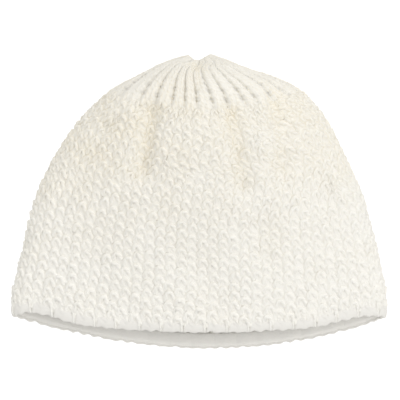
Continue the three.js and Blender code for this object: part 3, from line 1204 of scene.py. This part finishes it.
@dataclass
class HemBand:
    """The smooth bound edge. At every second wale a strand is drawn tight around it, with a crease beside it.

    A cell is the stretch from strand to strand. Heights are above the band's lower edge. Each strand also
    pulls slanting creases into the band's outer face, given by pulls as how far aside they start and how
    strong they are, and a bead runs along the inner face. strand_up and strand_out are the heights of a
    strand's points and their shares of the way from the wall's middle to its face, from the first row over
    the edge and inwards.
    """

    form: HatForm
    layout: WaleLayout
    cells: int = 36
    per_cell: int = 22
    corners: int = 40
    inset: float = 0.25
    overlap: float = 0.8
    face_shape: float = 0.6
    edge_shape: float = 0.8
    inside_taller: float = 0.7
    taper: float = 0.4
    taper_height: float = 2.6
    upright: float = 4.0
    roll: float = 0.45
    crease: float = 1.4
    crease_width: float = 0.5
    crease_tilt: float = 0.105
    crease_inside: float = 0.2
    edge_drawn: float = 0.9
    drawn_below: float = 3.0
    slant: float = 0.7
    slant_slope: float = 1.3
    slant_middle: float = 6.0
    slant_width: float = 0.55
    slant_span: tuple[float, float] = (3.2, 4.6)
    pulls: tuple[tuple[float, float], ...] = ((2.6, 1.0), (-3.6, 0.7))
    bead_height: float = 2.0
    bead_width: float = 0.6
    bead_crease: float = 1.5
    bead_outside: float = 0.1
    edge_bump: float = 1.4
    bump_span: tuple[float, float] = (1.0, 3.5)
    slip_spread: float = 0.5
    force_span: tuple[float, float] = (0.6, 1.15)
    bump_force: tuple[float, float] = (0.3, 1.0)
    strand: float = 1.5
    strand_slack: float = 0.8
    strand_gain: float = 0.25
    strand_inset: float = 0.75
    strand_aside: float = 1.3
    strand_tilt: float = 0.1
    strand_proud: float = 0.9
    strand_up: tuple[float, ...] = (9.6, 8.4, 6.2, 4.0, 2.2, 1.2, 1.1, 1.6, 2.6)
    strand_out: tuple[float, ...] = (0.1, 0.75, 0.98, 1.0, 0.95, 0.8, 0.6, 0.5, 0.5)
    seed: int = 11
    slips: ndarray = field(init=False)
    forces: ndarray = field(init=False)
    bumps: ndarray = field(init=False)
    girth: float = field(init=False)
    start: float = field(init=False)

    def __post_init__(self) -> None:
        """Draws how far each strand has slipped, how tight it is and how big each bump of the edge is."""
        rng = np.random.default_rng(self.seed)
        self.slips = rng.normal(0, self.slip_spread, self.cells)
        self.forces = rng.uniform(*self.force_span, self.cells)
        self.bumps = rng.uniform(*self.bump_force, self.cells * 2)
        self.girth = self.form.girth(np.array([0.0]))[0]
        self.start = self.layout.edges[self.layout.per_row, 0] + 0.5 / self.cells

    def build(self, finish: Material, sweep: YarnSweep, yarn: Material) -> None:
        """Makes the band as one closed ring, and the strands that bind it.

        Args:
            finish: the band's finish.
            sweep: what lays the strands.
            yarn: the strands' finish.
        """
        band = grid_mesh("hem_edge", np.stack([self._ring(up, out) for up, out in self._section()]), finish)
        band.data.flip_normals()
        settle(band, "hem_band")
        strands = [self._strand(cell) for cell in range(self.cells)]
        settle(sweep.lay("hem_strands", strands, yarn), "hem_band")

    def _section(self) -> ndarray:
        """The band's section.

        Returns:
            How far above the lower edge and how far out of the wall's middle each corner lies.
        """
        angle = np.arange(self.corners) / self.corners * 2 * math.pi
        half = WALL / 2 - self.inset
        top = HEM_END * WAY_UP + self.overlap
        out = np.sign(np.cos(angle)) * np.abs(np.cos(angle)) ** self.face_shape * half
        up = top / 2 + np.sign(np.sin(angle)) * np.abs(np.sin(angle)) ** self.edge_shape * top / 2
        up = up * (1 + self.inside_taller * np.clip(-out / half, 0, 1))
        out = out * (1 - self.taper * ease(up, top - self.taper_height, top) * (out > 0))
        return np.stack([up, out], axis=1)

    def _ring(self, up: float, out: float) -> ndarray:
        """The band's points all the way around at one corner of its section.

        Args:
            up: how far above the lower edge the corner lies.
            out: how far out of the wall's middle.

        Returns:
            The points.
        """
        count = self.cells * self.per_cell
        place = np.arange(count) / count
        cell = np.arange(count) // self.per_cell
        pitch = self.girth / self.cells
        along = (place * self.cells - cell) * pitch
        nearest = np.where(along > pitch / 2, (cell + 1) % self.cells, cell)
        tilt = self.crease_tilt * (up - self.upright)
        along = np.where(along > pitch / 2, along - pitch, along) - self.slips[nearest] + tilt
        crease = np.exp(-((along / self.crease_width) ** 2)) * self.forces[nearest]
        if out < 0:
            crease = crease * self.crease_inside
        else:
            slope = self.slant_slope * (up - self.slant_middle)
            for aside, strength in self.pulls:
                pull = strength * np.exp(-(((along - aside - slope) / self.slant_width) ** 2))
                crease = crease + self.slant * pull * ease(up, *self.slant_span)
        puff = self.roll * np.cos(math.pi * along / pitch) ** 2
        bead = self.bead_crease * math.exp(-(((up - self.bead_height) / self.bead_width) ** 2))
        bead = bead if out < 0 else bead * self.bead_outside
        sunk = self.crease * crease + puff + bead
        lift = -WALL / 2 + out - out / (WALL / 2) * sunk
        wave = 0.5 - 0.5 * np.cos(4 * math.pi * along / pitch)
        bump = self.edge_bump * self.bumps[nearest * 2 + (along > 0)] * wave
        bump = bump * (1 - ease(up, *self.bump_span))
        v = (up + bump + self.edge_drawn * crease * (up < self.drawn_below)) / WAY_UP
        return self.form.at(place + self.start, np.maximum(v, 0), lift)

    def _strand(self, cell: int) -> YarnPath:
        """One strand that binds the band.

        Args:
            cell: the strand's number.

        Returns:
            The strand's path, from the first row over the lower edge and into the wall.
        """
        up = np.array(self.strand_up)
        out = np.array(self.strand_out) * (WALL / 2 - self.strand_inset)
        aside = self.slips[cell] + self.strand_aside + self.strand_tilt * (up - self.upright)
        u = self.start + cell / self.cells + aside / self.girth
        points = self.form.at(u, up / WAY_UP, -WALL / 2 + out)
        girth = np.full(len(up), self.strand * (self.strand_slack + self.strand_gain * self.forces[cell]))
        # The strand's proudness, which the yarn's finish turns into a little painted shade.
        return YarnPath(points, girth, np.full(len(up), self.strand_proud), closed=False)


class Lamp(NamedTuple):
    """A round soft lamp that points at the beanie: its place and width in metres, and its power in watts."""

    name: str
    place: Place
    width: float
    power: float


LAMPS = (
    Lamp("broad_window", (1.1, -0.15, 1.5), 1.3, 5.8),
    Lamp("high_window", (-0.3, 1.4, 0.9), 1.2, 4.0),
)


@dataclass(frozen=True)
class OpalTableTop:
    """Sand-blasted opal glass, lit from below.

    It looks white to the camera, as an overexposed backdrop does, but lends the beanie only the light of a
    pale grey table, because its glow reaches nothing else.
    """

    name: str = "white_opal_table_top"
    colour: str = "#d6d6d5"
    roughness: float = 0.9
    glow: float = 0.8

    def make(self) -> Material:
        """Builds the material.

        Returns:
            The material, whose glow only the camera sees.
        """
        material = bpy.data.materials.new(self.name)
        material.use_nodes = True
        tree = material.node_tree
        shader = tree.nodes["Principled BSDF"]
        shader.inputs["Base Color"].default_value = to_linear(self.colour)
        shader.inputs["Roughness"].default_value = self.roughness
        shader.inputs["Emission Color"].default_value = (1.0, 1.0, 1.0, 1.0)
        seen = add_node(tree, "ShaderNodeLightPath").outputs["Is Camera Ray"]
        glow = add_node(tree, MATH, (seen, self.glow), operation="MULTIPLY")
        tree.links.new(glow.outputs[0], shader.inputs["Emission Strength"])
        return material


@dataclass
class Studio:
    """A light table, daylight, windows at the right and beyond, and the camera overhead."""

    frame_width: float = 268.0
    distance: float = 2000.0
    sensor: float = 36.0
    aim: Place = (0.7, 1.4, 25.0)
    sight_metres: float = 20.0
    table_metres: float = 4.0
    sky: float = 0.7
    sky_rise: float = 0.2
    sky_tilt: Place = (0.3, 0.0, 1.0)
    sky_colour: tuple[float, float, float, float] = (1.0, 0.99, 0.97, 1.0)

    def build(self) -> None:
        """Makes the table, the lights and the camera."""
        bpy.context.scene.view_settings.view_transform = "Standard"
        self._lay_table()
        self._light_sky()
        for lamp in LAMPS:
            light = bpy.data.lights.new(lamp.name, "AREA")
            light.shape = "DISK"
            light.size = lamp.width
            light.energy = lamp.power
            hung = put(lamp.name, light)
            hung.location = lamp.place
            hung.rotation_euler = (-Vector(lamp.place)).to_track_quat("-Z", "Y").to_euler()
        self._set_camera()

    def _light_sky(self) -> None:
        """Makes the daylight, which is a little stronger from above and from the right."""
        world = bpy.data.worlds.new("soft_daylight")
        world.use_nodes = True
        tree = world.node_tree
        way = add_node(tree, "ShaderNodeTexCoord").outputs["Generated"]
        overhead = add_node(tree, "ShaderNodeVectorMath", (way, self.sky_tilt), operation="DOT_PRODUCT")
        rise = (overhead.outputs["Value"], self.sky_rise, self.sky)
        strength = add_node(tree, MATH, rise, operation="MULTIPLY_ADD")
        strength = add_node(tree, MATH, (strength, 0.0), operation="MAXIMUM")
        background = tree.nodes["Background"]
        tree.links.new(strength.outputs[0], background.inputs["Strength"])
        background.inputs["Color"].default_value = self.sky_colour
        bpy.context.scene.world = world

    def _lay_table(self) -> None:
        """Makes the table, as the stage."""
        mesh = bpy.data.meshes.new("table")
        half = self.table_metres / 2
        corners = [(-half, -half, 0), (half, -half, 0), (half, half, 0), (-half, half, 0)]
        mesh.from_pydata(corners, [], [(0, 1, 2, 3)])
        mesh.materials.append(OpalTableTop().make())
        put("table", mesh)

    def _set_camera(self) -> None:
        """Sets the camera straight above the beanie, far off, so that its edges don't spread."""
        lens = bpy.data.cameras.new("camera")
        lens.sensor_width = self.sensor
        lens.lens = self.sensor * self.distance / self.frame_width
        lens.clip_end = self.sight_metres
        camera = put("camera", lens)
        camera.location = (Vector(self.aim) + Vector((0, 0, self.distance))) * MM
        bpy.context.scene.camera = camera


def main() -> None:
    """Builds the studio and the beanie."""
    logging.basicConfig(level=logging.INFO, format="%(message)s")
    form = HatForm()
    layout = WaleLayout()
    sweep = YarnSweep()
    yarn = PliedYarn().make()
    Studio().build()
    # The hem band's finish is a greyer, more neutral cream than the yarn's: partly the band's own tone,
    # partly painted shade for the edge that curves under.
    edge = FeltedGround("hem_edge_tone_and_painted_shade", "#efeeeb", lump=1.4, height=0.45).make()
    HemBand(form, layout).build(edge, sweep, yarn)
    KnittedFabric(form, layout).build(sweep, yarn)
    FibreFill(form, layout).build(FeltedGround().make())


if __name__ == "__main__":
    main()
